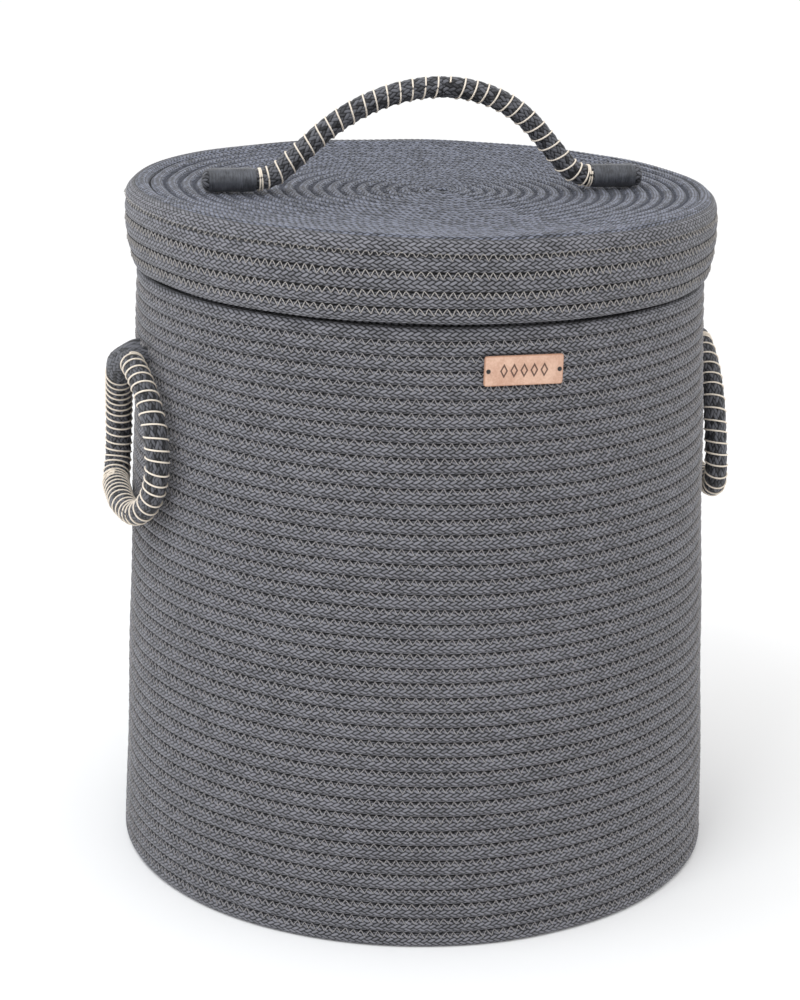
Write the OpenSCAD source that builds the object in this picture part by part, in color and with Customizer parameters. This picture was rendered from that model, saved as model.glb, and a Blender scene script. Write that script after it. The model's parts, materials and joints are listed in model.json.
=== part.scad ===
// Laundry hamper with a lift-off lid, sewn from one thick coiled rope.
// It stands on z = 0 with its axis on Z. The carrying loops are on -X and +X, and the tag faces -Y.

/* [Basket] */
// Outer radius of the wall where it meets the floor
base_r = 202; // [190:1:215]
// Outer radius of the wall just below the lid
shoulder_r = 185.8; // [180:0.2:190]
// Height of the wall up to the lower edge of the lid
wall_h = 395.2; // [380:1:420]
// Thickness of one layer of sewn rope
rope_t = 8.5; // [7:0.5:10]
// Radius of the rounded bottom edge
foot_round = 7; // [3:0.5:8]
// How far the rim collar rises above the wall
collar_rise = 44; // [38:1:44]
// How far the rim collar is sewn down inside the wall
collar_grip = 19; // [10:1:30]
// Gap all round between the collar and the lid skirt
collar_gap = 1.8; // [1:0.1:3]

/* [Lid] */
// Largest outer radius of the lid
lid_r = 192.6; // [188:0.2:198]
// How far the skirt draws in at its lower edge
skirt_draw = 5.3; // [3:0.1:7]
// Height of the lid's widest row above its lower edge
skirt_belly = 33; // [25:1:36]
// Height of the lid from its lower edge to its top
lid_h = 53.7; // [50:0.1:58]
// Radius of the rounded top edge of the lid
lid_round = 9; // [5:0.5:12]
// Thickness of the coiled lid top
lid_t = 9; // [8:0.5:10]
// How far the middle of the lid top has sunk
lid_sag = 5; // [2:0.5:6]
// Gap under the lid's lower edge
lid_gap = 0.7; // [0.5:0.1:2]

/* [Lid handle] */
// Radius of the lid handle's rope
arch_rope_r = 6.75; // [5:0.25:8]
// Rise of the arch above its ends, between centre lines
arch_rise = 58.2; // [45:1:70]
// Radius of the top bow of the arch
bow_r = 103; // [90:1:110]
// Radius of the bend at each foot of the arch
heel_r = 25; // [18:1:28]
// Slope of the straight stretch of the arch
arch_slope = 45; // [40:1:50]
// Length of the flat rope end beyond each bend
end_len = 35; // [30:1:40]
// Distance of the handle in front of the lid's centre
arch_offset = 12; // [0:1:20]
// Turn of the lid on the basket, seen from above
lid_turn = -5; // [-45:0.5:45]
// Thickness of the thread wound round each rope end
whipping_t = 0.7; // [0.4:0.1:1.2]

/* [Carrying loops] */
// Radius of the carrying loops' rope
loop_rope_r = 8.3; // [7:0.1:9]
// Height of the loops' hinge line above the floor
loop_z = 342; // [335:1:355]
// Drop of the loop from its hinge line to its lowest run, between centre lines
loop_drop = 97; // [92:1:112]
// Half of the loop's width between centre lines
loop_half_w = 61; // [56:1:68]
// Half of the distance between the two tails in the wall
tail_half = 10; // [9.5:0.5:12]
// Radius of the loop's wide lower corner
corner_wide = 40; // [34:1:42]
// Radius of the loop's tight lower corner
corner_tight = 20; // [18:1:30]
// How far the loop's lowest run stands out from its hinge line
loop_lean = 5; // [5:0.5:9]
// Radius of the curve that the loop follows round the wall
loop_wrap_r = 200; // [200:5:300]
// Radius of the knot that holds the tails inside the wall
tail_knot_r = 12; // [10:0.5:14]

/* [Twine] */
// Radius of the decorative twine
twine_r = 0.6; // [0.4:0.1:0.9]
// Distance between two turns of twine
twine_pitch = 8; // [6:0.5:12]

/* [Name tag] */
// Width of the tag
tag_w = 50; // [40:1:60]
// Height of the tag
tag_h = 18.2; // [14:0.2:24]
// Thickness of the tag
tag_t = 1.6; // [1:0.1:2.5]
// Radius of the tag's corners
tag_round = 1.6; // [0.5:0.1:3]
// Height of the tag's centre above the floor
tag_z = 369; // [340:1:380]
// Distance of the tag to the right of the front centre line
tag_shift = 2.9; // [-10:0.1:10]
// Distance of each pin from the tag's centre
pin_half = 22.6; // [18:0.1:23]
// Radius of a pin's head
pin_head_r = 1.4; // [1:0.1:1.6]

/* [Hidden] */
$fn = 96;

rope_grey = [0.40, 0.40, 0.43];
handle_grey = [0.24, 0.25, 0.27];
twine_cream = [0.93, 0.86, 0.78];
thread_slate = [0.33, 0.34, 0.37];
tag_tan = [0.86, 0.69, 0.57];
pin_black = [0.06, 0.06, 0.07];

curve_steps = 10;      // straight steps in each curved profile
hair = 0.3;            // clear gap between pieces that move on each other
toe = 0.5;             // level stretch at each end of the arch
hole_gap = 0.15;       // gap round a rope tail in its hole
bend_half = 6;         // half width of the round bend where a loop's rope turns on its hinge line
tail_gap = 1.2;        // gap between a rope tail in the wall and the loop that turns on it
twine_start = 15;      // bare length of a loop's rope below its hinge line, clear of the tails
hinge_x = wall_r(loop_z) + loop_rope_r + 2 * twine_r + 0.5;
collar_top = wall_h + collar_rise;
skirt_z = wall_h + lid_gap;
lid_z = skirt_z + lid_h;
skirt_inner_r = lid_r - skirt_draw - rope_t;
collar_r = skirt_inner_r - collar_gap;
disc_r = lid_r - rope_t;
arch_z = dish_z(arch_reach() + end_len) + arch_rope_r + whipping_t + 0.1;

// Outer radius of the tapering wall at height z
function wall_r(z) = base_r + (shoulder_r - base_r) * z / wall_h;

// Height of the lid's top face at radius r: level at the rim, sunk in the middle
function dish_z(r) = lid_z - lid_sag * (1 - pow(r / disc_r, 4));

// Outer radius of the lid skirt at height h above its lower edge
function skirt_r(h) = lid_r - skirt_draw * pow((h - skirt_belly) / skirt_belly, 2);

// The lid handle's centre line, in the plane of the arch, at a distance s along it from its top.
// Each entry is [along, up, slope]: a bow, a straight stretch and a bend the other way.
function bow_len() = bow_r * arch_slope * PI / 180;
function heel_len() = heel_r * arch_slope * PI / 180;
function ramp_len() = (arch_rise - (bow_r + heel_r) * (1 - cos(arch_slope))) / sin(arch_slope);
function arch_half_len() = bow_len() + ramp_len() + heel_len();
function arch_reach() = (bow_r + heel_r) * sin(arch_slope) + ramp_len() * cos(arch_slope);
function bow_at(a) = [bow_r * sin(a), arch_rise - bow_r * (1 - cos(a)), a];
function ramp_at(u) = bow_at(arch_slope) + [u * cos(arch_slope), -u * sin(arch_slope), 0];
function heel_at(a) = [arch_reach() - heel_r * sin(a), heel_r * (1 - cos(a)), a];
function arch_at(s) =
    s < bow_len() ? bow_at(s / bow_r * 180 / PI)
    : s < bow_len() + ramp_len() ? ramp_at(s - bow_len())
    : heel_at((arch_half_len() - s) / heel_r * 180 / PI);

// Half of a carrying loop's centre line as [sideways, down] points, from its tail to the middle
// of its lowest run: a wide arc out and down, then a lower corner of radius rc.
function shoulder_arc_r(rc) =
    (pow(loop_half_w - tail_half, 2) + pow(loop_drop - rc, 2)) / (2 * (loop_half_w - tail_half));
function half_loop(rc) =
    let (big = shoulder_arc_r(rc), turn = asin((loop_drop - rc) / big))
    concat(
        [for (i = [0 : 10]) let (a = turn * (1 - i / 10))
            [loop_half_w - big + big * cos(a), loop_drop - rc - big * sin(a)]],
        [for (i = [1 : 6]) let (a = 90 * i / 6)
            [loop_half_w - rc + rc * cos(a), loop_drop - rc + rc * sin(a)]],
        [for (i = [1 : 3]) [(loop_half_w - rc) * (1 - i / 3), loop_drop]]);

// A loop point in space. The loop wraps a little round the wall and leans out towards its lowest run.
function loop_point(p) =
    [hinge_x + loop_lean * p[1] / loop_drop - p[0] * p[0] / (2 * loop_wrap_r), p[0], loop_z - p[1]];
function loop_path() =
    let (a = half_loop(corner_tight), b = half_loop(corner_wide), n = len(b) - 1)
    concat([for (p = a) loop_point([-p[0], p[1]])], [for (i = [n - 1 : -1 : 0]) loop_point(b[i])]);

function unit(v) = v / norm(v);
function tangent(path, i) = unit(path[min(i + 1, len(path) - 1)] - path[max(i - 1, 0)]);

// Distance along a path up to each of its points
function run(path, i = 0, sum = 0) =
    i == len(path) - 1 ? [sum] : concat([sum], run(path, i + 1, sum + norm(path[i + 1] - path[i])));
function segment_at(lengths, s, i = 0) =
    i >= len(lengths) - 2 || lengths[i + 1] > s ? i : segment_at(lengths, s, i + 1);
function point_at(path, lengths, s) =
    let (i = segment_at(lengths, s), t = (s - lengths[i]) / (lengths[i + 1] - lengths[i]))
    path[i] * (1 - t) + path[i + 1] * t;

// A round rope along a path: one ring of points at each path point, closed at both ends.
// across is a direction that the path never runs along.
module rope(path, r, across, sides = 16) {
    points = [for (i = [0 : len(path) - 1])
        let (t = tangent(path, i), u = unit(cross(t, across)), v = cross(t, u))
        for (k = [0 : sides - 1])
            path[i] + r * (cos(360 * k / sides) * u + sin(360 * k / sides) * v)];
    skins = [for (i = [0 : len(path) - 2]) for (k = [0 : sides - 1])
        let (a = i * sides + k, b = i * sides + (k + 1) % sides)
        for (face = [[a, b + sides, b], [a, a + sides, b + sides]])
            face];
    caps = [[for (k = [0 : sides - 1]) k],
        [for (k = [sides - 1 : -1 : 0]) (len(path) - 1) * sides + k]];
    polyhedron(points, concat(skins, caps), convexity = 6);
}

// One turn of twine round a rope of radius r, lying across the direction d at a point
module twine_turn(at, d, r) {
    translate(at)
        rotate([0, acos(d[2]), atan2(d[1], d[0])])
            rotate_extrude()
                translate([r + twine_r + 0.05, 0])
                    circle(twine_r);
}

// The bottom: a flat spiral of rope that lies on the floor inside the first row of the wall
module base_coil() {
    color(rope_grey)
        cylinder(h = rope_t, r = wall_r(rope_t) - rope_t);
}

// The wall: rows of rope that draw in towards the top, with a rounded foot and two pairs of holes
module wall_coil() {
    color(rope_grey)
        difference() {
            rotate_extrude()
                difference() {
                    polygon([[wall_r(rope_t) - rope_t, 0], [base_r, 0], [shoulder_r, wall_h],
                        [shoulder_r - rope_t, wall_h], [wall_r(rope_t) - rope_t, rope_t]]);
                    difference() {
                        translate([base_r - foot_round, -1])
                            square([foot_round + 1, foot_round + 1]);
                        translate([base_r - foot_round, foot_round])
                            circle(foot_round);
                    }
                }
            for (side = [-1, 1], y = [-tail_half, tail_half])
                translate([side * (hinge_x - 30), y, loop_z])
                    rotate([0, side * 90, 0])
                        cylinder(h = 40, r = loop_rope_r + hole_gap);
        }
}

// The collar: rows sewn inside the top of the wall, which stand up into the lid
module collar_coil() {
    low = wall_h - collar_grip;
    color(rope_grey)
        rotate_extrude()
            polygon([[collar_r - rope_t, low], [wall_r(low) - rope_t, low],
                [shoulder_r - rope_t, wall_h], [collar_r, wall_h], [collar_r, collar_top - 2],
                [collar_r - 2, collar_top], [collar_r - rope_t + 2, collar_top],
                [collar_r - rope_t, collar_top - 2]]);
}

// Places its children on the tag's centre: X along the tag, Y up the wall and Z outwards
module on_tag() {
    face = wall_r(tag_z - tag_h / 2) + 0.1;
    rotate([0, 0, atan2(tag_shift, face)])
        translate([0, -face, tag_z])
            rotate([90, 0, 0])
                children();
}

module name_tag() {
    core = [tag_w - 2 * tag_round, tag_h - 2 * tag_round];
    color(tag_tan)
        on_tag()
            linear_extrude(tag_t)
                difference() {
                    union() {
                        square([tag_w, core[1]], center = true);
                        square([core[0], tag_h], center = true);
                        for (x = [-1, 1], y = [-1, 1])
                            translate([x * core[0] / 2, y * core[1] / 2])
                                circle(tag_round);
                    }
                    for (x = [-pin_half, pin_half])
                        translate([x, 0])
                            circle(pin_head_r * 0.6);
                }
}

// Two pins that hold the tag, pressed through it into the rope
module tag_pins() {
    depth = 5;
    head = 0.7;
    color(pin_black)
        on_tag()
            for (x = [-pin_half, pin_half])
                translate([x, 0, 0]) {
                    translate([0, 0, -depth])
                        cylinder(h = depth + tag_t + 0.1, r = pin_head_r * 0.55);
                    translate([0, 0, tag_t + 0.05])
                        cylinder(h = head, r = pin_head_r);
                }
}

// The two rope tails of the loop on +X, through the wall to the knot that holds them inside
module loop_tails() {
    knot_x = sqrt(pow(wall_r(loop_z) - rope_t, 2) - pow(tail_half, 2)) - tail_knot_r - 0.3;
    tail_end = hinge_x - loop_rope_r - tail_gap;
    color(handle_grey) {
        for (y = [-tail_half, tail_half]) {
            translate([knot_x, y, loop_z])
                rotate([0, 90, 0])
                    cylinder(h = tail_end - knot_x, r = loop_rope_r);
            translate([knot_x, y, loop_z])
                sphere(tail_knot_r);
        }
        translate([knot_x, -tail_half, loop_z])
            rotate([-90, 0, 0])
                cylinder(h = 2 * tail_half, r = tail_knot_r);
    }
}

// The carrying loop on +X: a rope from one tail round to the other, with a round bend at each tail
module loop_rope() {
    color(handle_grey) {
        rope(loop_path(), loop_rope_r, [1, 0, 0]);
        for (y = [-tail_half, tail_half])
            translate([hinge_x, y, loop_z])
                rotate([90, 0, 0])
                    cylinder(h = 2 * bend_half, r = loop_rope_r, center = true);
    }
}

module loop_twine() {
    path = loop_path();
    lengths = run(path);
    whole = lengths[len(lengths) - 1];
    turns = floor((whole - 2 * twine_start) / twine_pitch);
    color(twine_cream)
        for (i = [0 : turns]) {
            s = whole / 2 + (i - turns / 2) * twine_pitch;
            twine_turn(point_at(path, lengths, s),
                unit(point_at(path, lengths, s + 1) - point_at(path, lengths, s - 1)), loop_rope_r);
        }
}

// The knot in the twine, on the outside of the loop's rope. side is 1 towards +Y and -1 towards -Y.
module twine_knot(side) {
    knot_r = 2.1;
    p = loop_point([side * (loop_half_w - 1), loop_drop - corner_wide + 4]);
    color(twine_cream)
        translate(p + (loop_rope_r + 2 * twine_r + knot_r + 0.3) * unit([1, side * 0.4, 0]))
            sphere(knot_r, $fn = 32);
}

// The lid top: a flat spiral of rope that has sunk a little in the middle
module lid_top_coil() {
    radii = [for (i = [0 : curve_steps]) disc_r * i / curve_steps];
    color(rope_grey)
        rotate_extrude()
            polygon(concat([for (r = radii) [r, dish_z(r)]],
                [for (i = [curve_steps : -1 : 0]) [radii[i], dish_z(radii[i]) - lid_t]]));
}

// The lid skirt: rows that bulge in the middle, draw in below and roll over the top edge
module lid_skirt_coil() {
    edge_h = lid_h - lid_round;
    outer = [for (i = [0 : curve_steps]) let (h = edge_h * i / curve_steps)
        [skirt_r(h), skirt_z + h]];
    rolled = [for (i = [1 : curve_steps]) let (a = 90 * i / curve_steps)
        [skirt_r(edge_h) - lid_round * (1 - cos(a)), lid_z - lid_round * (1 - sin(a))]];
    inner_h = lid_h - lid_t - hair;
    inner = [for (i = [curve_steps : -1 : 0]) let (h = inner_h * i / curve_steps)
        [skirt_r(h) - rope_t, skirt_z + h]];
    color(rope_grey)
        rotate_extrude()
            polygon(concat(outer, rolled, [[disc_r, lid_z], [disc_r, skirt_z + inner_h]], inner));
}

// Places its children in the arch's plane: X along the handle, Z up from its ends' centre line
module on_arch() {
    rotate([0, 0, lid_turn])
        translate([0, -arch_offset, arch_z])
            children();
}

// The flat end of the lid handle's rope, sewn down on the lid. side is -1 or 1 along the handle.
module lid_handle_end(side) {
    color(handle_grey)
        on_arch()
            translate([side * (arch_reach() + toe + hair), 0, 0])
                rotate([0, side * 90, 0])
                    cylinder(h = end_len - toe - hair, r = arch_rope_r);
}

// The thread wound round the rope end, which leaves the rope's tip showing
module lid_handle_whipping(side) {
    tip = 3;
    color(thread_slate)
        on_arch()
            translate([side * (arch_reach() + toe + hair), 0, 0])
                rotate([0, side * 90, 0])
                    difference() {
                        cylinder(h = end_len - toe - hair - tip, r = arch_rope_r + whipping_t);
                        translate([0, 0, -1])
                            cylinder(h = end_len, r = arch_rope_r + 0.02);
                    }
}

// The arch: a top bow, a straight stretch on each side and a bend down to each end
module lid_handle_rope() {
    steps = 30;
    half = concat([for (i = [0 : steps]) arch_at(arch_half_len() * i / steps)],
        [[arch_reach() + toe, 0, 0]]);
    n = len(half) - 1;
    color(handle_grey)
        on_arch()
            rope(concat([for (i = [n : -1 : 1]) [-half[i][0], 0, half[i][1]]],
                [for (p = half) [p[0], 0, p[1]]]), arch_rope_r, [0, 1, 0]);
}

module lid_handle_twine() {
    turns = floor(2 * (arch_half_len() - twine_pitch / 2) / twine_pitch);
    color(twine_cream)
        on_arch()
            for (i = [0 : turns]) {
                s = (i - turns / 2) * twine_pitch;
                p = arch_at(abs(s));
                side = s < 0 ? -1 : 1;
                twine_turn([side * p[0], 0, p[1]], [side * cos(p[2]), 0, -sin(p[2])], arch_rope_r);
            }
}

base_coil();
wall_coil();
collar_coil();
name_tag();
tag_pins();
rotate([0, 0, 180]) loop_tails();  // left_loop_tails
loop_tails();  // right_loop_tails
lid_top_coil();
lid_skirt_coil();
lid_handle_end(-1);  // lid_handle_left_end
lid_handle_end(1);  // lid_handle_right_end
lid_handle_whipping(-1);  // lid_handle_left_whipping
lid_handle_whipping(1);  // lid_handle_right_whipping
lid_handle_rope();
lid_handle_twine();
rotate([0, 0, 180]) loop_rope();  // left_loop_rope
rotate([0, 0, 180]) loop_twine();  // left_loop_twine
rotate([0, 0, 180]) twine_knot(-1);  // left_twine_knot
loop_rope();  // right_loop_rope
loop_twine();  // right_loop_twine
twine_knot(1);  // right_twine_knot
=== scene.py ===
"""The looks of a laundry hamper sewn from coiled rope: rows, stitches, braided handles, twine and tag."""

import json
import math

import bpy
import numpy as np
from mathutils import Matrix, Vector


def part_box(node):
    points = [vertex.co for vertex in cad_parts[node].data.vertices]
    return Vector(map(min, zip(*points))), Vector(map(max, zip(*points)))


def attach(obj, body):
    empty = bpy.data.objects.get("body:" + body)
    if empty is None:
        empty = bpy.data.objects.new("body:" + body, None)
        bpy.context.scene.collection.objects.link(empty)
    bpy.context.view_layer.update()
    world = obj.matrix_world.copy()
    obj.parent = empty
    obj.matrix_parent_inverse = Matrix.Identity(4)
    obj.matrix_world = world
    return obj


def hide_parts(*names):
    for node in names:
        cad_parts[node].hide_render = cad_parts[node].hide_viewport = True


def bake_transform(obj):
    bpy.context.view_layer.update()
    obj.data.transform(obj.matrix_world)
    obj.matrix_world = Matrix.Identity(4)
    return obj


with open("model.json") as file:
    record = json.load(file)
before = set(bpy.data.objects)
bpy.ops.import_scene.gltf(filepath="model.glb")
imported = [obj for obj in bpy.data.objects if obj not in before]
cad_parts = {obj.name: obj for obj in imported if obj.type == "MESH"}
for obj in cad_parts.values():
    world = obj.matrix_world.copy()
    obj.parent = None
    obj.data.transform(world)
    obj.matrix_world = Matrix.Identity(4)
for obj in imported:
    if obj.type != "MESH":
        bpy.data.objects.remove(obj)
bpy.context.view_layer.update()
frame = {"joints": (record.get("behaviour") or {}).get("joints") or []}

MM = 0.001
joints = {joint["name"]: joint for joint in frame["joints"]}

# ---- The frame's sizes, in metres ----
wall_low, wall_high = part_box("wall_coil")
lid_low, lid_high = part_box("lid_skirt_coil")
collar_low, collar_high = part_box("collar_coil")
tag_low, tag_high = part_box("name_tag")
handle_low, handle_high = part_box("lid_handle_rope")
BASE_R = wall_high.x
WALL_H = wall_high.z
SHOULDER_R = 185.8 * MM
LID_R = lid_high.x
SKIRT_Z = lid_low.z
LID_Z = lid_high.z
COLLAR_R = 177.0 * MM
COLLAR_TOP = collar_high.z

# ---- The coiled rope ----
ROPE_T = 8.5 * MM           # thickness of one layer
BULGE = ROPE_T / 2          # how far a row stands out from its own middle
SQUARENESS = 2.25           # exponent of a row's squarish section
WALL_ROWS = 42
WALL_PITCH = WALL_H / WALL_ROWS
SEAM_ANGLE = math.radians(72)   # where a row climbs to the next, at the back
FLAT_SHARE = 0.9            # share of the first turn that lies level before it climbs
EASE_ROWS = 18              # rows over which the climb spreads to the whole turn
LID_TILT = math.radians(0.8)    # the lid sits a little lower on the viewer's right
WAVE, SWAY = 0.34 * MM, 0.22 * MM    # unevenness of the rows, outwards and along the profile
CLEAR = 0.2 * MM            # how far the rows keep inside the CAD's height
ENDLESS = 999               # a last row that the coil never nears
STITCH = 5.2 * MM           # length of one zigzag of the sewing
TOP_STITCH = 5.55 * MM      # and on the lid's top
SPIRAL_SHIFT = 13 * MM      # distance of the lid spiral's middle from the lid's axis

# ---- The braid ----
BRAID_P = 4.3 * MM          # width of a strand along the rope
BRAID_Q = 2.35 * MM         # and across it
BRAID_DEPTH = 0.6 * MM
MEAN_HEIGHT = 0.6           # braid height that is level with the plain rope
BACK_FACE = 14.7 * MM       # way round the coil's rope from mid face to mid back

# ---- The viewpoint ----
AZIMUTH = math.radians(-18.3)
ELEVATION = math.radians(17.19)
DISTANCE = 1.6064
TARGET = Vector((0, 0, 0.2317))
LENS = 85.04
SENSOR = 36
ASIDE = 11.6 * MM           # how far left of the target the camera is aimed
ROLL = math.radians(0.7)
RIGHT = np.array([math.cos(AZIMUTH), math.sin(AZIMUTH), 0.0])


# ---------------------------------------------------------------- shapes

def smooth(x):
    """An even S-curve from 0 to 1."""
    x = np.clip(x, 0.0, 1.0)
    return x * x * (3 - 2 * x)


def run_along(points):
    """How far along a line of points each one lies."""
    return np.concatenate([[0], np.cumsum(np.linalg.norm(np.diff(points, axis=0), axis=1))])


def rings_round(path, side, up, turn, radius):
    """Points at turns round each point of a path, in radians, and a radius away from it."""
    return path[:, None] + radius * (np.cos(turn)[None, :, None] * side[:, None]
                                     + np.sin(turn)[None, :, None] * up[:, None])


def numbered(name, count):
    """The names of a piece's parts, with a number each if there are several."""
    return [name] if count == 1 else [f"{name}_{i + 1}" for i in range(count)]


def wall_r(z):
    """Outer radius of the tapering wall at height z."""
    return BASE_R + (SHOULDER_R - BASE_R) * z / WALL_H


def braid_height(u, v, p_size=BRAID_P, q_size=BRAID_Q):
    """Height, from 0 to 1, of a two-over-two braid at a distance u along a rope and v across it."""
    p = u / p_size + v / q_size
    q = u / p_size - v / q_size
    row, column = np.floor(p), np.floor(q)
    rising = np.mod(row - column, 4) < 2
    cross = np.where(rising, p - row, q - column)
    along = np.where(rising, np.mod(q - row + 1, 4), np.mod(p - column - 2, 4)) / 2
    crown = np.sqrt(np.clip(1 - (2 * cross - 1) ** 2, 0, 1))
    return crown * (1 - 0.8 * np.clip(np.abs(2 * along - 1), 0, 1) ** 4)


def ripple(angle, height, size, seed):
    """A slow, even unevenness of the sewn rows, at an angle and a height."""
    draw = np.random.default_rng(seed)
    total = np.zeros(np.broadcast(angle, height).shape)
    for _ in range(7):
        turns = draw.integers(2, 15)
        total += np.sin(turns * angle + draw.uniform(-60, 60) * height + draw.uniform(0, 6.28))
    return size * total / 3


def mesh_object(name, points, faces, uv=None, smooth_faces=True, caps=()):
    """A mesh object from an array of points and one of four-cornered faces, with a UV map in metres."""
    mesh = bpy.data.meshes.new(name)
    extra = [list(map(int, cap)) for cap in caps]
    corners = np.concatenate([faces.ravel(), *[np.array(cap) for cap in extra]]).astype(np.int32)
    sizes = np.concatenate([np.full(len(faces), 4), [len(cap) for cap in extra]]).astype(np.int32)
    starts = np.concatenate([[0], np.cumsum(sizes)[:-1]]).astype(np.int32)
    mesh.vertices.add(len(points))
    mesh.vertices.foreach_set("co", points.astype(np.float32).ravel())
    mesh.loops.add(len(corners))
    mesh.loops.foreach_set("vertex_index", corners)
    mesh.polygons.add(len(sizes))
    mesh.polygons.foreach_set("loop_start", starts)
    mesh.polygons.foreach_set("use_smooth", np.full(len(sizes), smooth_faces))
    if uv is not None:
        layer = mesh.uv_layers.new(name="rope")
        values = np.zeros((len(corners), 2), np.float32)
        values[:len(uv)] = uv
        layer.data.foreach_set("uv", values.ravel())
    mesh.update(calc_edges=True)
    obj = bpy.data.objects.new(name, mesh)
    bpy.context.scene.collection.objects.link(obj)
    return obj


def tube(name, rings, u, v):
    """A closed tube from rings[i, k], with the rope's own coordinates u[i] along and v[k] round it.
    v holds one value more than a ring has points."""
    n, m = rings.shape[:2]
    i, k = np.meshgrid(np.arange(n - 1), np.arange(m), indexing="ij")
    after = (k + 1) % m
    faces = np.stack([i * m + k, i * m + after, (i + 1) * m + after, (i + 1) * m + k], -1).reshape(-1, 4)
    us = np.stack([u[i], u[i], u[i + 1], u[i + 1]], -1).reshape(-1)
    vs = np.stack([v[k], v[k + 1], v[k + 1], v[k]], -1).reshape(-1)
    caps = [np.arange(m)[::-1], (n - 1) * m + np.arange(m)]
    return mesh_object(name, rings.reshape(-1, 3), faces, np.stack([us, vs], -1), caps=caps)


# ---------------------------------------------------------------- coiled rows

class Profile:
    """The outline that a coil's rows follow, as radius and height of its outer surface."""

    def __init__(self, outline):
        self.points = np.array(outline, float)
        self.run = run_along(self.points)
        along = np.gradient(self.points, self.run, axis=0)
        self.along = along / np.linalg.norm(along, axis=1, keepdims=True)

    def at(self, s):
        """Point, direction along the outline and direction out of it, at a distance s along it."""
        point = np.stack([np.interp(s, self.run, self.points[:, c]) for c in (0, 1)], -1)
        along = np.stack([np.interp(s, self.run, self.along[:, c]) for c in (0, 1)], -1)
        along /= np.linalg.norm(along, axis=-1, keepdims=True)
        return point, along, np.stack([along[..., 1], -along[..., 0]], -1)


def climb(turns, level_rows, last_row):
    """How many rows a coil has climbed after so many turns: level turns first, then an even helix."""
    row = np.floor(turns)
    part = turns - row
    even = smooth(row / level_rows) * smooth((last_row - row) / 8)
    return row + (1 - even) * smooth((part - FLAT_SHARE) / (1 - FLAT_SHARE)) + even * part


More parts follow.
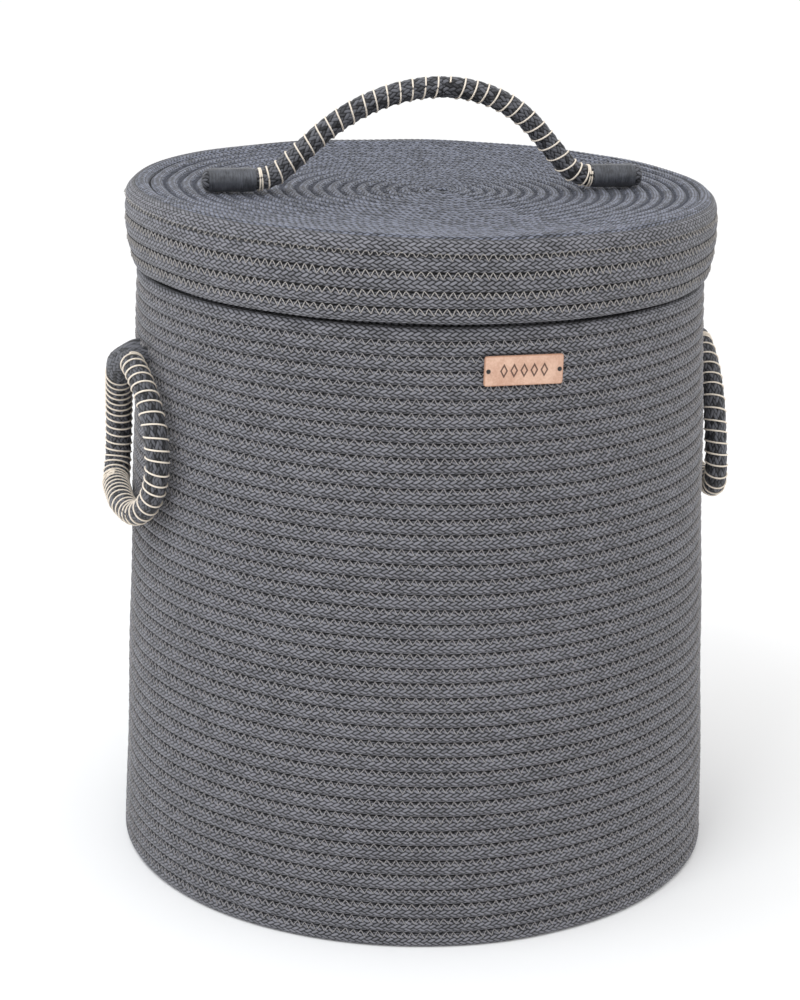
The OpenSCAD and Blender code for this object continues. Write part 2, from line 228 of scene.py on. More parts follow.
class Coil:
    """One rope sewn in rows along a profile. edges[j] is where row j starts along the profile."""

    def __init__(self, profile, edges, first, last, level_rows, last_row, place, seed):
        self.profile, self.edges = profile, np.array(edges)
        self.last = last
        self.level_rows, self.last_row = level_rows, last_row
        self.place, self.seed = place, seed
        fine = np.linspace(first, last, 6000)
        radius = np.maximum(self.middle(fine)[0][:, 0], 3 * MM)
        lengths = np.concatenate([[0], np.cumsum(math.tau * radius[1:] * np.diff(fine))])
        self.fine, self.lengths = fine, lengths

    def edge(self, rows):
        return np.interp(rows, np.arange(len(self.edges)), self.edges)

    def middle(self, turns):
        """Middle of the rope in the profile's plane, its directions, and half its row's height."""
        below, rows, above = (climb(turns + k, self.level_rows, self.last_row) for k in (-1, 0, 1))
        low, high = self.edge((below + rows + 1) / 2), self.edge((rows + above + 1) / 2)
        point, along, out = self.profile.at((low + high) / 2)
        return point - out * BULGE, along, out, (high - low) / 2

    def rings(self, start, stop, step, outer, inner):
        """The rope's surface between two distances along it, with its own coordinates."""
        count = max(8, int((stop - start) / step))
        u = np.linspace(start, stop, count)
        turns = np.interp(u, self.lengths, self.fine)
        middle, along, out, half = self.middle(turns)
        front = np.linspace(-90, 90, outer + 1)[:-1]
        back = np.linspace(90, 270, inner + 1)[:-1]
        a = np.radians(np.concatenate([front, back]))
        power = 2 / SQUARENESS
        rise = np.sign(np.sin(a)) * np.abs(np.sin(a)) ** power
        stand = np.sign(np.cos(a)) * np.abs(np.cos(a)) ** power
        shape = np.stack([stand * BULGE, rise * np.mean(half)], -1)
        shape = np.concatenate([shape, shape[:1]])
        v = run_along(shape)
        v -= np.interp(outer / 2, np.arange(len(v)), v)
        bumps = (braid_height(u[:, None], v[None, :-1]) - MEAN_HEIGHT) * BRAID_DEPTH
        edge_fade = np.clip(1.3 * np.abs(stand), 0.25, 1)[None, :]
        lift = bumps * edge_fade
        offset = stand[None, :] * BULGE + lift * np.cos(a)[None, :]
        up = rise[None, :] * half[:, None] + lift * np.sin(a)[None, :]
        radius = middle[:, :1] + out[:, :1] * offset + along[:, :1] * up
        height = middle[:, 1:] + out[:, 1:] * offset + along[:, 1:] * up
        angle = SEAM_ANGLE - math.tau * turns[:, None] + 0 * radius
        wave = ripple(angle, middle[:, 1:], WAVE, self.seed)
        sway = ripple(angle, middle[:, 1:], SWAY, self.seed + 1)
        radius = radius + out[:, :1] * wave + along[:, :1] * sway
        height = height + out[:, 1:] * wave + along[:, 1:] * sway
        return self.place(radius, angle, height), u, v

    def rope(self, name, start, stop, step, outer, inner):
        """One stretch of the coiled rope as an object."""
        rings, u, v = self.rings(start, stop, step, outer, inner)
        return tube(name, rings, u, v)

    def pieces(self, name, count, step, outer, inner):
        """The whole coil as several objects, each a stretch of the same rope."""
        cuts = np.linspace(0, self.lengths[-1], count + 1)
        names = numbered(name, count)
        return [self.rope(names[i], cuts[i], cuts[i + 1], step, outer, inner) for i in range(count)]

    def stitches(self, name, pitch, above, below, radius, count, start, stop, proud=0.12 * MM):
        """The zigzag thread over the seam below each row between two turns, as several objects."""
        first, last = np.interp([start, stop], self.fine, self.lengths)
        wanted = np.arange(first, last, pitch / 2)
        draw = np.random.default_rng(self.seed + 5)
        wanted = wanted + draw.normal(0, 0.06 * pitch, len(wanted))
        tops = np.arange(len(wanted)) % 2 == 0
        reach = np.where(tops, above, -below) * (1 + draw.normal(0, 0.13, len(wanted)))
        parts = np.arange(0, len(wanted) - 1, 1 / 3)
        u = np.interp(parts, np.arange(len(wanted)), wanted)
        across = np.interp(parts, np.arange(len(wanted)), reach)
        turns = np.interp(u, self.lengths, self.fine)
        middle, along, out, half = self.middle(turns)
        lower, lower_along, lower_out, lower_half = self.middle(turns - 1)
        on_upper = across > 0
        share = np.where(on_upper, 1 - across / half, 1 + across / lower_half)
        share = np.clip(np.abs(share), 0, 0.985)
        stand = BULGE * (1 - share ** SQUARENESS) ** (1 / SQUARENESS)
        stand = np.maximum(stand, BULGE * 0.74) + 0.8 * radius + proud
        base = np.where(on_upper[:, None], middle - along * (half - across)[:, None],
                        lower + lower_along * (lower_half + across)[:, None])
        point = base + out * stand[:, None]
        angle = SEAM_ANGLE - math.tau * turns
        wave = ripple(angle, middle[:, 1], WAVE, self.seed)
        sway = ripple(angle, middle[:, 1], SWAY, self.seed + 1)
        point = point + out * wave[:, None] + along * sway[:, None]
        path = self.place(point[:, 0], angle, point[:, 1])
        cuts = np.linspace(0, len(path) - 1, count + 1).astype(int)
        names = numbered(name, count)
        return [thread(names[i], path[cuts[i]:cuts[i + 1] + 1], radius, 3) for i in range(count)]


def thread(name, path, radius, sides):
    """A thin round thread along a path, whose rings face the way it runs."""
    ahead = np.gradient(path, axis=0)
    ahead /= np.maximum(np.linalg.norm(ahead, axis=1, keepdims=True), 1e-9)
    axis = np.array([0, 0, 1.0])
    first = np.cross(ahead, axis)
    weak = np.linalg.norm(first, axis=1) < 0.2
    first[weak] = np.cross(ahead[weak], [0, 1.0, 0])
    first /= np.linalg.norm(first, axis=1, keepdims=True)
    second = np.cross(ahead, first)
    a = math.tau * np.arange(sides) / sides
    rings = rings_round(path, first, second, a, radius)
    run = run_along(path)
    return tube(name, rings[:, ::-1], run, np.linspace(0, math.tau * radius, sides + 1))


def lean(x, y):
    """How far the lid's tilt lowers a point on it."""
    return math.tan(LID_TILT) * (x * RIGHT[0] + y * RIGHT[1])


def basket_place(radius, angle, height):
    """Basket rows in space: inside the wall's height, and tilted a little with the lid above them."""
    height = np.clip(height, CLEAR, WALL_H - CLEAR)
    x, y = radius * np.cos(angle), radius * np.sin(angle)
    tilt = math.tan(LID_TILT) * (height / WALL_H) ** 2
    return np.stack([x, y, height - tilt * (x * RIGHT[0] + y * RIGHT[1])], -1)


def collar_place(radius, angle, height):
    """Collar rows in space, tilted like the rows around them."""
    height = np.minimum(height, COLLAR_TOP - CLEAR)
    x, y = radius * np.cos(angle), radius * np.sin(angle)
    return np.stack([x, y, height - lean(x, y)], -1)


def lid_place(radius, angle, height):
    """Lid rows in space: tilted, and with the middle of the spiral off the lid's axis."""
    height = np.maximum(height, SKIRT_Z + CLEAR)
    shift = SPIRAL_SHIFT * np.clip(1 - radius / (LID_R - ROPE_T), 0, 1)
    x = radius * np.cos(angle) + shift * RIGHT[0]
    y = radius * np.sin(angle) + shift * RIGHT[1]
    return np.stack([x, y, height - lean(x, y)], -1)


def on_lid(points):
    """Points that lie level on the lid, tilted with it."""
    points = np.array(points, float)
    points[..., 2] -= lean(points[..., 0], points[..., 1])
    return points


# ---------------------------------------------------------------- materials

def linear(red, green, blue):
    """An sRGB colour from 0 to 255 as linear values."""
    return tuple(((c / 255 + 0.055) / 1.055) ** 2.4 for c in (red, green, blue))


class Shader:
    """Short calls that build one material's nodes."""

    def __init__(self, name, roughness, specular=0.4):
        self.material = bpy.data.materials.new(name)
        self.material.use_nodes = True
        self.tree = self.material.node_tree
        self.surface = self.tree.nodes["Principled BSDF"]
        self.surface.inputs["Roughness"].default_value = roughness
        self.surface.inputs["Specular IOR Level"].default_value = specular

    def put(self, socket, value):
        if isinstance(value, (int, float)):
            socket.default_value = value
        elif isinstance(value, tuple):
            socket.default_value = (*value, 1.0)[:len(socket.default_value)]
        else:
            self.tree.links.new(value, socket)

    def math(self, operation, *values):
        node = self.tree.nodes.new("ShaderNodeMath")
        node.operation = operation
        for socket, value in zip(node.inputs, values):
            self.put(socket, value)
        return node.outputs[0]

    def add(self, a, b):
        return self.math("ADD", a, b)

    def sub(self, a, b):
        return self.math("SUBTRACT", a, b)

    def mul(self, a, b):
        return self.math("MULTIPLY", a, b)

    def pick(self, choice, a, b):
        """b where choice is 1 and a where it is 0."""
        return self.add(a, self.mul(choice, self.sub(b, a)))

    def ramp(self, value, low, high, to_low=0.0, to_high=1.0):
        """value from low to high, as a smooth change from to_low to to_high."""
        node = self.tree.nodes.new("ShaderNodeMapRange")
        node.interpolation_type = "SMOOTHSTEP"
        for socket, number in zip(node.inputs, (value, low, high, to_low, to_high)):
            self.put(socket, number)
        return node.outputs[0]

    def mix(self, factor, a, b):
        node = self.tree.nodes.new("ShaderNodeMix")
        node.data_type = "RGBA"
        self.put(node.inputs["Factor"], factor)
        self.put(node.inputs[6], a)
        self.put(node.inputs[7], b)
        return node.outputs[2]

    def coordinates(self, kind="Object"):
        return self.tree.nodes.new("ShaderNodeTexCoord").outputs[kind]

    def rope_coordinates(self):
        """Distance along the rope and across it, in metres."""
        node = self.tree.nodes.new("ShaderNodeUVMap")
        node.uv_map = "rope"
        split = self.tree.nodes.new("ShaderNodeSeparateXYZ")
        self.put(split.inputs[0], node.outputs[0])
        return split.outputs[0], split.outputs[1]

    def vector(self, x, y, z=0.0):
        node = self.tree.nodes.new("ShaderNodeCombineXYZ")
        for socket, value in zip(node.inputs, (x, y, z)):
            self.put(socket, value)
        return node.outputs[0]

    def noise(self, vector, scale, detail=3.0, roughness=0.6):
        node = self.tree.nodes.new("ShaderNodeTexNoise")
        self.put(node.inputs["Vector"], vector)
        node.inputs["Scale"].default_value = scale
        node.inputs["Detail"].default_value = detail
        node.inputs["Roughness"].default_value = roughness
        return node.outputs["Fac"]

    def random(self, value):
        node = self.tree.nodes.new("ShaderNodeTexWhiteNoise")
        node.noise_dimensions = "1D"
        self.put(node.inputs["W"], value)
        return node.outputs["Value"]

    def bump(self, height, distance, strength=1.0, below=None):
        node = self.tree.nodes.new("ShaderNodeBump")
        node.inputs["Strength"].default_value = strength
        node.inputs["Distance"].default_value = distance
        self.put(node.inputs["Height"], height)
        if below is not None:
            self.put(node.inputs["Normal"], below)
        return node.outputs[0]

    def finish(self, colour, normal=None, sheen=0.0):
        self.put(self.surface.inputs["Base Color"], colour)
        if normal is not None:
            self.put(self.surface.inputs["Normal"], normal)
        self.surface.inputs["Sheen Weight"].default_value = sheen
        self.surface.inputs["Sheen Roughness"].default_value = 0.5
        return self.material


def braided(name, dark, light, p_size, q_size, spread, edge=None, roughness=0.62):
    """A braided rope: crossing strands of slightly different tone, each with its own fibres, with painted
    shade between the strands and, where edge is given, painted shade where the rows meet.
    """
    s = Shader(name, roughness, 0.35)
    u, v = s.rope_coordinates()
    p = s.add(s.mul(u, 1 / p_size), s.mul(v, 1 / q_size))
    q = s.sub(s.mul(u, 1 / p_size), s.mul(v, 1 / q_size))
    row, column = s.math("FLOOR", p), s.math("FLOOR", q)
    quarter = s.math("FRACT", s.mul(s.sub(row, column), 0.25))
    rising = s.math("LESS_THAN", quarter, 0.49)
    cross = s.pick(rising, s.sub(q, column), s.sub(p, row))
    along_rising = s.math("FRACT", s.mul(s.add(s.sub(q, row), 1.0), 0.25))
    along_falling = s.math("FRACT", s.mul(s.sub(s.sub(p, column), 2.0), 0.25))
    along = s.mul(s.pick(rising, along_falling, along_rising), 2.0)
    off = s.math("ABSOLUTE", s.sub(s.mul(cross, 2.0), 1.0))
    crown = s.math("SQRT", s.math("MAXIMUM", s.sub(1.0, s.mul(off, off)), 0.0))
    end = s.math("POWER", s.math("ABSOLUTE", s.sub(s.mul(along, 2.0), 1.0)), 4.0)
    height = s.mul(crown, s.sub(1.0, s.mul(end, 0.8)))
    strand = s.random(s.add(s.pick(rising, column, row), s.mul(rising, 0.37)))
    where = s.coordinates()
    fibres = s.noise(s.vector(s.mul(p, 1.3), s.mul(q, 1.3), s.mul(rising, 9.0)), 2.6, 3.0, 0.7)
    cloud = s.noise(where, 9.0, 2.0, 0.5)
    # Painted shade between the strands: the tone follows the braid's height, darkest between the strands and
    # lightest on their crowns.
    tone = s.ramp(height, 0.15, 0.95, 0.0, 1.0)
    tone = s.add(s.mul(tone, 0.78), s.mul(s.sub(strand, 0.5), spread))
    tone = s.add(tone, s.mul(s.sub(fibres, 0.5), 0.6))
    tone = s.add(tone, s.add(s.mul(s.sub(cloud, 0.5), 0.12), 0.02))
    colour = s.mix(s.ramp(tone, 0.12, 1.0), dark, light)
    # Painted shade where the coil's rows meet: towards a row's edges, front and back, the colour darkens to a
    # quarter of dark.
    if edge:
        from_face = s.math("MINIMUM", s.math("ABSOLUTE", v), s.math("ABSOLUTE", s.sub(v, BACK_FACE)))
        painted_row_shade = s.ramp(from_face, edge[0], edge[1], 0.0, edge[2])
        colour = s.mix(painted_row_shade, colour, tuple(c * 0.25 for c in dark))
    normal = s.bump(fibres, 0.12 * MM, 0.5, s.bump(height, 0.45 * MM, 0.75))
    return s.finish(colour, normal, 0.12)


def twisted(name, dark, light, ply, roughness=0.75):
    """A twisted thread or twine: fine slanting plies, with painted shade in the grooves between them."""
    s = Shader(name, roughness, 0.25)
    u, v = s.rope_coordinates()
    wave = s.math("FRACT", s.add(s.mul(u, 1 / ply), s.mul(v, 0.9 / ply)))
    off = s.math("ABSOLUTE", s.sub(s.mul(wave, 2.0), 1.0))
    fuzz = s.noise(s.coordinates(), 900.0, 2.0, 0.7)
    # Painted shade between the plies: the tone is lightest on each ply's crown and darkest in the grooves,
    # with fine fuzz.
    tone = s.add(s.mul(s.sub(1.0, s.mul(off, off)), 0.7), s.mul(fuzz, 0.5))
    colour = s.mix(s.math("MINIMUM", tone, 1.0), dark, light)
    return s.finish(colour, s.bump(s.sub(1.0, off), 0.15 * MM, 0.6), 0.1)


def wound(name, dark, light):
    """Fibrous thread wound close, lying round the rope end."""
    s = Shader(name, 0.42, 0.5)
    u, v = s.rope_coordinates()
    fibres = s.noise(s.vector(s.mul(u, 2600.0), s.mul(v, 130.0)), 1.0, 3.0, 0.7)
    patches = s.noise(s.coordinates(), 160.0, 2.0, 0.6)
    # The light streaks round the rope are partly the thread's own fibre tone, partly painted gloss
    # highlights.
    tone = s.ramp(s.add(s.mul(fibres, 0.75), s.mul(patches, 0.35)), 0.32, 0.78)
    return s.finish(s.mix(tone, dark, light), s.bump(fibres, 0.3 * MM, 0.7), 0.15)


def tag_leather(half_w, half_h, motif):
    """Pale leather, darker in a band along its rim, with a pressed row of plain lozenges."""
    s = Shader("tag_leather", 0.5, 0.4)
    where = s.coordinates()
    split = s.tree.nodes.new("ShaderNodeSeparateXYZ")
    s.put(split.inputs[0], where)
    x, y = split.outputs[0], split.outputs[1]
    grain = s.noise(where, 700.0, 4.0, 0.65)
    blotch = s.noise(where, 90.0, 2.0, 0.5)
    tone = s.add(s.mul(grain, 0.5), s.mul(blotch, 0.5))
    colour = s.mix(s.ramp(tone, 0.3, 0.7), linear(190, 148, 126), linear(220, 184, 162))
    edge_x = s.ramp(s.math("ABSOLUTE", x), half_w - 0.9 * MM, half_w - 0.25 * MM)
    edge_y = s.ramp(s.math("ABSOLUTE", y), half_h - 0.9 * MM, half_h - 0.25 * MM)
    edge = s.mul(s.math("MAXIMUM", edge_x, edge_y), 0.55)
    colour = s.mix(edge, colour, linear(150, 100, 72))
    step, wide, high, reach = motif
    cell = s.sub(s.math("FRACT", s.add(s.mul(x, 1 / step), 0.5)), 0.5)
    lozenge = s.add(s.mul(s.math("ABSOLUTE", cell), step / wide), s.mul(s.math("ABSOLUTE", y), 1 / high))
    inside = s.mul(s.ramp(lozenge, 1.0, 0.9), s.math("LESS_THAN", s.math("ABSOLUTE", x), reach))
    hollow = s.mul(inside, s.ramp(lozenge, 0.5, 0.6))
    colour = s.mix(s.mul(hollow, 0.88), colour, linear(62, 38, 30))
    normal = s.bump(hollow, -0.25 * MM, 0.8, s.bump(grain, 0.06 * MM, 0.5))
    return s.finish(colour, normal)


def speckled(name, colour, spots, roughness):
    """A nearly plain surface with a fine change of tone."""
    s = Shader(name, roughness, 0.5)
    fleck = s.noise(s.coordinates(), spots, 3.0, 0.6)
    return s.finish(s.mix(s.ramp(fleck, 0.3, 0.7), colour, tuple(c * 1.35 for c in colour)))


# The edge values set the painted shade where the rows meet: where it starts and ends off the row's face, and
# how strong it is.
COIL = braided("coil_rope", linear(8, 9, 11), linear(130, 130, 137), BRAID_P, BRAID_Q, 0.28,
               edge=(4.2 * MM, 5.8 * MM, 0.9))
# The lid top's rope is the skirt's rope; its material is a bluer copy of the coil's, as painted cool light on
# the lid's top.
LID_TOP_PAINTED_COOL_LIGHT = braided("lid_top_rope", linear(10, 11, 15), linear(123, 127, 142), BRAID_P, BRAID_Q, 0.5,
                  edge=(4.0 * MM, 5.2 * MM, 0.9))
HANDLE_P, HANDLE_Q, HANDLE_DEPTH = 4.6 * MM, 2.65 * MM, 0.45 * MM
HANDLE = braided("handle_rope", linear(16, 17, 21), linear(98, 99, 105), HANDLE_P, HANDLE_Q, 1.0)
TWINE = twisted("twine", linear(206, 184, 160), linear(255, 246, 232), 0.9 * MM)
THREAD = twisted("sewing_thread", linear(104, 102, 105), linear(182, 178, 177), 1.1 * MM)
LID_THREAD = twisted("lid_sewing_thread", linear(112, 109, 110), linear(192, 187, 182), 1.1 * MM)
TOP_THREAD = twisted("lid_top_thread", linear(58, 60, 68), linear(112, 115, 126), 1.1 * MM)
WHIPPING = wound("whipping_thread", linear(20, 21, 25), linear(98, 101, 109))
PIN = speckled("pin", linear(24, 20, 20), 900.0, 0.35)


def dress(obj, material, body, replaced=()):
    """Gives a piece its material in a new material slot, attaches it to its body if one is named, and hides
    the CAD nodes it stands for.
    """
    obj.data.materials.append(material)
    if body is not None:
        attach(obj, body)
    if replaced:
        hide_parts(*replaced)
    return obj


# ---------------------------------------------------------------- basket

BASE_PITCH = 9.2 * MM
COLLAR_ROWS = 7


def basket():
    """Wall, bottom and collar, each a coil of rope, and the stitches in the wall's seams."""
    wall = Profile([(wall_r(z), z) for z in np.linspace(0, WALL_H + 2 * WALL_PITCH, 60)])
    edges = np.arange(WALL_ROWS + 4) * WALL_PITCH
    start = FLAT_SHARE - 1
    coil = Coil(wall, edges, start + 1e-4, WALL_ROWS - 0.02, EASE_ROWS, WALL_ROWS - 1, basket_place, 11)
    for piece in coil.pieces("wall_rope", 8, 1.25 * MM, 12, 4):
        dress(piece, COIL, "basket", ["wall_coil"])
    last = coil.last - 0.02
    for piece in coil.stitches("wall_stitches", STITCH, 1.1 * MM, 2.7 * MM, 0.3 * MM, 2, 0.95, last):
        dress(piece, THREAD, "basket")

    inside = wall_r(ROPE_T) - ROPE_T
    flat = Profile([(r, ROPE_T) for r in np.linspace(inside, 0, 40)])
    turns = int(inside / BASE_PITCH) - 0.6
    base = Coil(flat, np.arange(24) * BASE_PITCH, 0, turns, 1, ENDLESS, base_place, 23)
    for piece in base.pieces("base_rope", 1, 3 * MM, 8, 4):
        dress(piece, COIL, "basket", ["base_coil"])

    low = collar_low.z
    seat = WALL_H - 1 * MM
    outline = [(wall_r(low) - ROPE_T, low), (SHOULDER_R - ROPE_T, seat), (COLLAR_R, seat + 4 * MM)]
    outline += [(COLLAR_R, z) for z in np.linspace(seat + 6 * MM, COLLAR_TOP + 9 * MM, 8)]
    edges = np.arange(COLLAR_ROWS + 3) * (COLLAR_TOP - low) / COLLAR_ROWS
    collar = Coil(Profile(outline), edges, 0, COLLAR_ROWS - 0.02, 1, COLLAR_ROWS - 1, collar_place, 31)
    for piece in collar.pieces("collar_rope", 1, 2.4 * MM, 10, 5):
        dress(piece, COIL, "basket", ["collar_coil"])


def base_place(radius, angle, height):
    """Bottom rows in space, flat on the floor."""
    return np.stack([radius * np.cos(angle), radius * np.sin(angle), np.maximum(height, CLEAR)], -1)


# ---------------------------------------------------------------- lid

SKIRT_PITCHES = [10.0, 9.8, 11.2, 9.2, 10.6]     # rows of the skirt from its lower edge, in mm
TOP_PITCH = 8.8 * MM
LID_STEP = 1.15 * MM        # distance between the rope's rings
LID_ROUND = 9 * MM
SKIRT_DRAW = 5.3 * MM
SKIRT_BELLY = 33 * MM
LID_SAG = 5 * MM


def skirt_r(h):
    return LID_R - SKIRT_DRAW * ((h - SKIRT_BELLY) / SKIRT_BELLY) ** 2


def dish_z(r):
    return LID_Z - LID_SAG * (1 - (r / (LID_R - ROPE_T)) ** 4)


def lid():
    """The lid's skirt and top as one coil, cut where the skirt turns into the top."""
    edge_h = LID_Z - SKIRT_Z - LID_ROUND
    outline = [(skirt_r(h), SKIRT_Z + h) for h in np.linspace(0, edge_h, 20)]
    for a in np.radians(np.linspace(10, 90, 9)):
        outline.append((skirt_r(edge_h) - LID_ROUND * (1 - math.cos(a)),
                        LID_Z - LID_ROUND * (1 - math.sin(a))))
    last_r = outline[-1][0]
    outline += [(r, dish_z(r)) for r in np.linspace(last_r - 2 * MM, 0, 60)]
    profile = Profile(outline)
    edges = [0]
    for pitch in SKIRT_PITCHES:
        edges.append(edges[-1] + pitch * MM)
    skirt_rows = len(SKIRT_PITCHES)
    while edges[-1] < profile.run[-1] + TOP_PITCH:
        edges.append(edges[-1] + TOP_PITCH)
    turns = np.interp(profile.run[-1] - 0.5 * TOP_PITCH, edges, np.arange(len(edges))) - 0.5
    skirt = Coil(profile, edges, 0, turns, 6, ENDLESS, lid_place, 41)
    joint_u = np.interp(skirt_rows, skirt.fine, skirt.lengths)
    side = skirt.rope("lid_skirt_rope", 0, joint_u, LID_STEP, 12, 4)
    dress(side, COIL, "lid", ["lid_skirt_coil"])
    halfway = joint_u + 0.45 * (skirt.lengths[-1] - joint_u)
    outer_part = skirt.rope("lid_top_rope_1", joint_u, halfway, LID_STEP, 11, 4)
    inner_part = skirt.rope("lid_top_rope_2", halfway, skirt.lengths[-1], LID_STEP, 11, 4)
    dress(outer_part, LID_TOP_PAINTED_COOL_LIGHT, "lid", ["lid_top_coil"])
    dress(inner_part, LID_TOP_PAINTED_COOL_LIGHT, "lid")
    edge = skirt_rows - 0.05
    for piece in skirt.stitches("lid_skirt_stitches", STITCH, 1.2 * MM, 3.4 * MM, 0.34 * MM, 1, 1, edge,
                                0.3 * MM):
        dress(piece, LID_THREAD, "lid")
    last = skirt.last - 1
    for piece in skirt.stitches("lid_top_stitches", TOP_STITCH, 1.3 * MM, 1.9 * MM, 0.26 * MM, 1, edge + 2,
                                last):
        dress(piece, TOP_THREAD, "lid")


# ---------------------------------------------------------------- handles

def resample(points, step):
    """A path's points, an even distance apart, and how far along it each lies."""
    points = np.array(points, float)
    run = run_along(points)
    u = np.linspace(0, run[-1], max(4, int(run[-1] / step)))
    return np.stack([np.interp(u, run, points[:, c]) for c in range(3)], -1), u


def soften(points, reach):
    """A path with its corners rounded off over so many points. Its ends stay."""
    kernel = np.hanning(2 * reach + 3)[1:-1]
    kernel /= kernel.sum()
    padded = np.concatenate([2 * points[:1] - points[reach:0:-1], points,
                             2 * points[-1:] - points[-2:-reach - 2:-1]])
    return np.stack([np.convolve(padded[:, c], kernel, "valid") for c in range(3)], -1)


def carried_frames(path, first):
    """Two directions across a path at each point, carried along it without a twist."""
    ahead = np.gradient(path, axis=0)
    ahead /= np.linalg.norm(ahead, axis=1, keepdims=True)
    across = np.array(first, float)
    sides = []
    for direction in ahead:
        across = across - direction * across.dot(direction)
        across /= np.linalg.norm(across)
        sides.append(across.copy())
    sides = np.array(sides)
    return sides, np.cross(ahead, sides)


class Rope:
    """A round braided rope along a path, with a cream twine wound round it."""

    def __init__(self, points, radius, first, soft=0, step=0.8 * MM):
        path, self.u = resample(points, step)
        if soft:
            path, self.u = resample(soften(path, soft), step)
        self.path, self.radius = path, np.full(len(path), radius)
        self.side, self.up = carried_frames(path, first)

    def at(self, u):
        """The rope's middle and its two directions across, at distances along it."""
        return [np.stack([np.interp(u, self.u, part[:, c]) for c in range(3)], -1)
                for part in (self.path, self.side, self.up)]

    def body(self, name, start, stop, wraps, sides=44, round_end=0.0):
        """The rope itself between two distances along it. It bulges a little between the wraps."""
        keep = (self.u >= start) & (self.u <= stop)
        u = self.u[keep]
        turn = math.tau * np.arange(sides) / sides
        strands = round(math.tau * self.radius.mean() / HANDLE_Q / 4) * 4
        v = np.arange(sides + 1) / sides * strands * HANDLE_Q
        bump = (braid_height(u[:, None], v[None, :-1], HANDLE_P, HANDLE_Q) - MEAN_HEIGHT) * HANDLE_DEPTH
        radius = self.radius[keep][:, None] + bump
        if len(wraps):
            gap = np.min(np.abs(u[:, None] - np.array(wraps)[None, :]), axis=1)
            radius = radius - 0.5 * MM * np.exp(-(gap / (1.3 * MM)) ** 2)[:, None]
        if round_end:
            past = 1 - np.clip(np.minimum(u - u[0], u[-1] - u) / round_end, 0, 1)
            radius = radius * np.sqrt(np.clip(1 - past ** 2, 0.03, 1))[:, None]
        rings = rings_round(self.path[keep], self.side[keep], self.up[keep], turn, radius[..., None])
        return tube(name, rings, u, v)

    def point(self, u, turn, radius):
        """A point at a distance along the rope, a turn round it and a distance from its middle."""
        middle, side, up = self.at(u)
        return middle + radius * (np.cos(turn)[:, None] * side + np.sin(turn)[:, None] * up)

    def twine(self, name, wraps, thickness, phase=0.0, hand=1):
        """One twine wound round the rope, a turn from each wrap to the next."""
        count = (len(wraps) - 1) * 26
        turns = np.linspace(0, len(wraps) - 1, count)
        along = np.interp(turns, np.arange(len(wraps)), wraps)
        radius = np.interp(along, self.u, self.radius) + thickness * 0.45
        path = self.point(along, phase + hand * math.tau * turns, radius[:, None])
        return thread(name, path, thickness, 7)


def spaced(start, stop, pitch_at, seed):
    """Places of the wraps between two distances, each a pitch from the last, a little uneven."""
    draw = np.random.default_rng(seed)
    places = [start]
    while places[-1] < stop:
        places.append(places[-1] + pitch_at((places[-1] - start) / (stop - start)) * draw.uniform(0.82, 1.18))
    return [place for place in places if place <= stop]


# The lid handle's centre line: a top bow, a straight slope on each side and a heel down to each end.
HANDLE_R = 6.75 * MM
ARCH_RISE = 58.2 * MM
BOW_R = 103 * MM
HEEL_R = 25 * MM
SLOPE = math.radians(45)
END_LEN = 35 * MM
APEX_SHIFT = 9 * MM         # how far the top of the arch has slumped to one side
WHIP_PITCH = 0.85 * MM
TWINE_R = 0.55 * MM
HANDLE_WRAP = 8.2 * MM      # distance between the twine's turns


def arch_points(side):
    """Half of the lid handle from its top to its outer end, in the handle's own plane."""
    ramp = (ARCH_RISE - (BOW_R + HEEL_R) * (1 - math.cos(SLOPE))) / math.sin(SLOPE)
    reach = (BOW_R + HEEL_R) * math.sin(SLOPE) + ramp * math.cos(SLOPE)
    bow = [(BOW_R * math.sin(a), ARCH_RISE - BOW_R * (1 - math.cos(a))) for a in np.linspace(0, SLOPE, 40)]
    heel = [(reach - HEEL_R * math.sin(a), HEEL_R * (1 - math.cos(a))) for a in np.linspace(SLOPE, 0, 20)]
    flat = [(reach + END_LEN * k / 10, 0) for k in range(1, 11)]
    return [(side * x + APEX_SHIFT * (z / ARCH_RISE) ** 1.5, 0, z) for x, z in bow + heel + flat], reach


def lid_handle():
    """The arched handle: two halves that curve down to their feet, and two ends sewn down under a whipping.
    """
    hinge = joints["lid_handle_bend"]
    origin, axis = np.array(hinge["pos_m"]), np.array(hinge["axis"])
    turned = np.stack([axis, np.cross([0, 0, 1], axis), [0, 0, 1]])

    def to_lid(points):
        return on_lid(origin + np.array(points) @ turned)

    for side, word in ((-1, "left"), (1, "right")):
        points, reach = arch_points(side)
        rope = Rope(to_lid(points), HANDLE_R, (0, 0, 1))
        foot = rope.u[-1] - END_LEN
        near = 1.5 * MM
        wraps = spaced(4 * MM * (side > 0) + 0.5 * MM, foot - 6 * MM, lambda part: HANDLE_WRAP, 50 + side)
        wraps += [foot - 3.6 * MM, foot - 2.2 * MM, foot - 0.8 * MM]
        whip = 29 * MM if side > 0 else 31 * MM
        start = to_lid([(side * (reach + near), 0, 0)])[0]
        end = to_lid([(side * (reach - 20 * MM), 0, 0)])[0]
        arch = rope.body(f"lid_handle_rope_{word}", -1, foot + near, wraps)
        dress(arch, HANDLE, None, ["lid_handle_rope"])
        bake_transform(arch)
        twine = rope.twine(f"lid_handle_twine_{word}", wraps, TWINE_R, 1.0, -1)
        dress(twine, TWINE, None, ["lid_handle_twine"])
        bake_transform(twine)
        tip = rope.body(f"lid_handle_{word}_end_rope", foot + whip - 4 * MM, 1, [], round_end=3.5 * MM)
        dress(tip, HANDLE, "lid", [f"lid_handle_{word}_end"])
        band = whipping(rope, f"lid_handle_{word}_whipping_thread", foot + 0.8 * MM, foot + whip)
        dress(band, WHIPPING, "lid", [f"lid_handle_{word}_whipping"])


